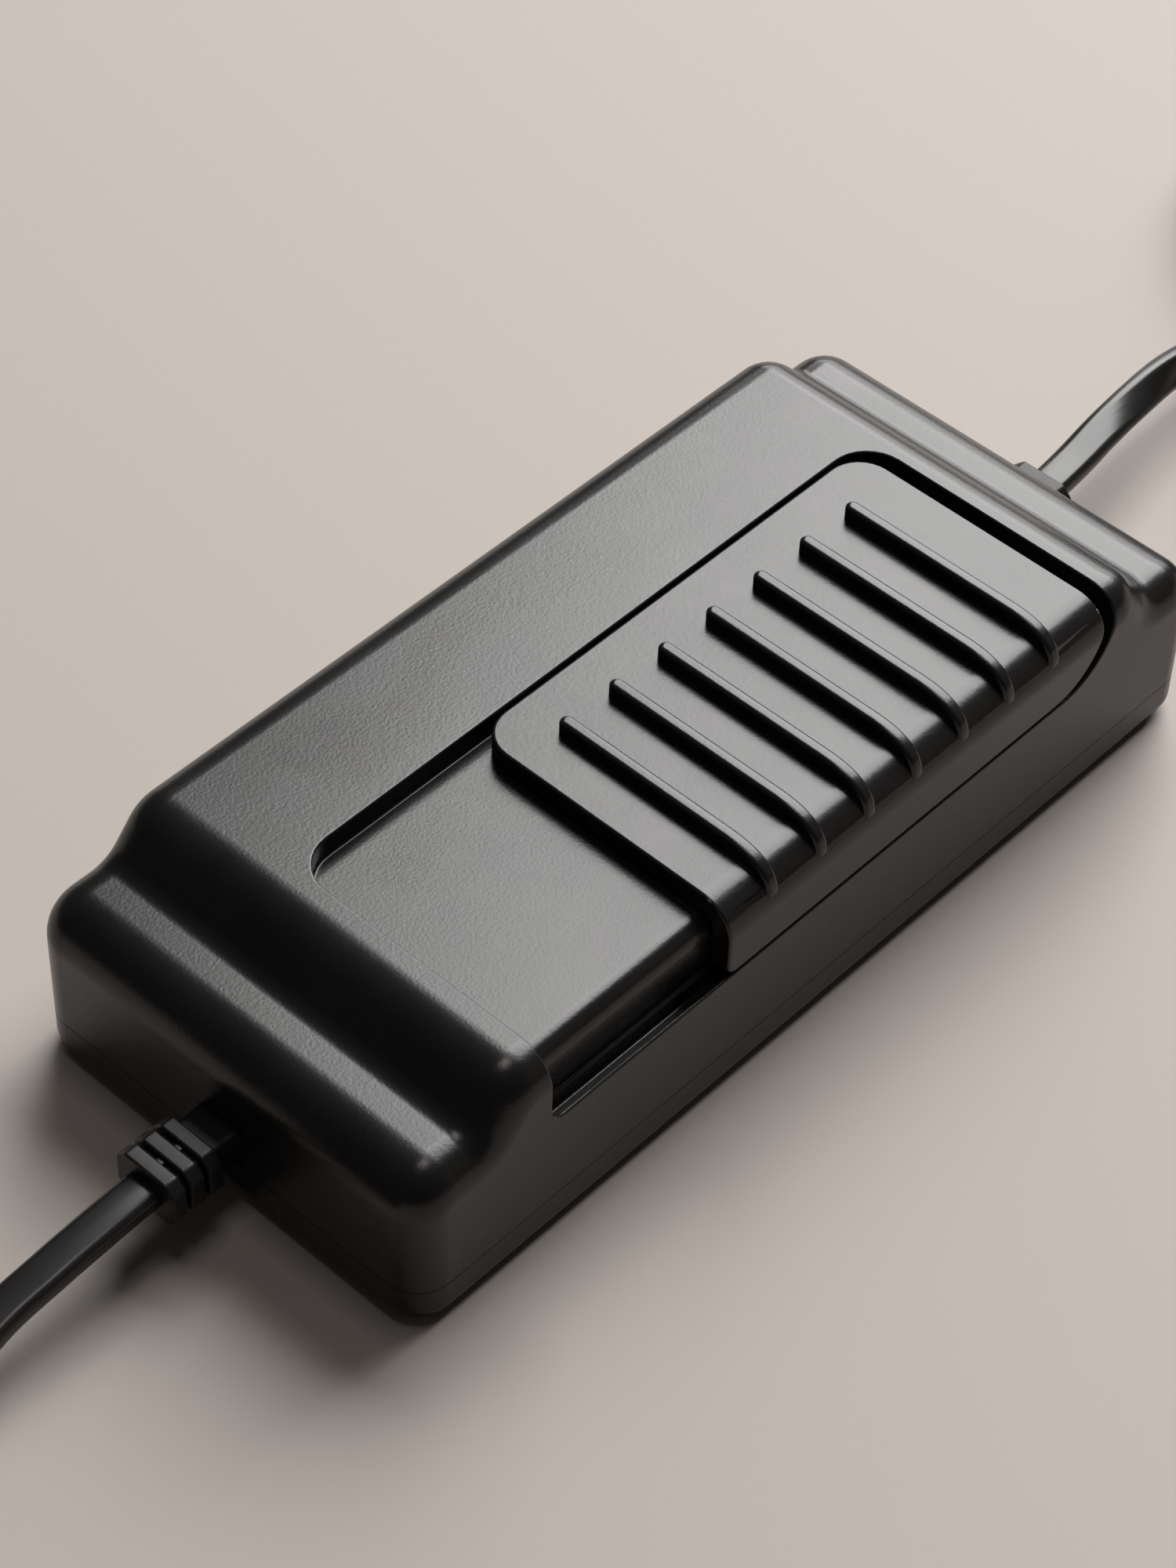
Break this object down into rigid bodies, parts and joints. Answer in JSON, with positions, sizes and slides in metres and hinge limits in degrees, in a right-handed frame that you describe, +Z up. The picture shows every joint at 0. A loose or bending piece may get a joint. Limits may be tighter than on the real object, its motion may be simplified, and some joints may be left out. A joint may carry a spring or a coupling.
{
  "type": "in-line foot slide dimmer",
  "caption": "Low foot control with a ribbed pedal that slides along its recess to set the power, and a flat flex out of each end.",
  "frame": {"origin": "middle of the footprint of the housing, on the floor that the rubber feet stand on; the cords, coils, plug and socket are left out of that box", "axes": "+X along the housing to the end where the lead to the lamp or machine leaves, +Y away from the edge that carries the slide pedal, +Z up"},
  "size_m": [0.404, 0.071, 0.0333],
  "materials": {
    "housing_plastic": "fine-textured black moulding",
    "pedal_plastic": "fine-textured black moulding",
    "foot_rubber": "matt",
    "zinc_screws": "zinc plated",
    "moulded_rubber": "satin moulded",
    "cord_tie": "soft strap",
    "plated_pins": "nickel plated",
    "flex_sheath": "smooth satin sheath",
    "pale_nylon": "moulded nylon",
    "black_resin": "moulded resin",
    "pressed_steel": "pressed sheet",
    "board_laminate": "printed circuit laminate",
    "sink_aluminium": "plain drawn",
    "copper_winding": "enamelled copper",
    "capacitor_film": "dipped film",
    "resistor_lacquer": "lacquered",
    "fuse_glass": "clear tube",
    "clip_brass": "tin-touched brass"
  },
  "bodies": {
    "housing": {"top_cover": "housing_plastic", "base_tray": "housing_plastic", "housing_screw_1": "zinc_screws", "housing_screw_2": "zinc_screws", "housing_screw_3": "zinc_screws", "housing_screw_4": "zinc_screws", "rubber_foot_1": "foot_rubber", "rubber_foot_2": "foot_rubber", "rubber_foot_3": "foot_rubber", "rubber_foot_4": "foot_rubber", "pot_housing": "pressed_steel", "pot_track": "board_laminate", "circuit_board": "board_laminate", "heat_sink": "sink_aluminium", "triac": "black_resin", "heat_sink_screw": "zinc_screws", "choke": "copper_winding", "film_capacitor": "capacitor_film", "timing_capacitor": "capacitor_film", "diac": "fuse_glass", "resistor_1": "resistor_lacquer", "resistor_2": "resistor_lacquer", "fuse": "fuse_glass", "fuse_clip_1": "clip_brass", "fuse_clip_2": "clip_brass", "terminal_block_in": "pale_nylon", "terminal_screw_in_1": "zinc_screws", "terminal_screw_in_2": "zinc_screws", "cord_clamp_in": "pale_nylon", "clamp_screw_in_1": "zinc_screws", "clamp_screw_in_2": "zinc_screws", "inner_lead_in": "flex_sheath", "terminal_block_out": "pale_nylon", "terminal_screw_out_1": "zinc_screws", "terminal_screw_out_2": "zinc_screws", "cord_clamp_out": "pale_nylon", "clamp_screw_out_1": "zinc_screws", "clamp_screw_out_2": "zinc_screws", "inner_lead_out": "flex_sheath", "strain_relief_in": "moulded_rubber", "strain_relief_out": "moulded_rubber", "mains_cord": "flex_sheath", "mains_coil": "flex_sheath", "mains_tie": "cord_tie", "mains_tail": "flex_sheath", "mains_plug": "moulded_rubber", "plug_pin_1": "plated_pins", "plug_pin_2": "plated_pins", "lamp_cord": "flex_sheath", "lamp_coil": "flex_sheath", "lamp_tie": "cord_tie", "lamp_tail": "flex_sheath", "lamp_socket": "moulded_rubber"},
    "pedal": {"slide_pedal": "pedal_plastic", "slide_retainer": "pale_nylon", "retainer_screw_1": "zinc_screws", "retainer_screw_2": "zinc_screws", "pot_lever": "black_resin"}
  },
  "joints": [
    {"name": "pedal_slide", "type": "slide", "parent": "housing", "child": "pedal", "axis": [1, 0, 0], "range_m": [-0.0285, 0.0015]}
  ]
}
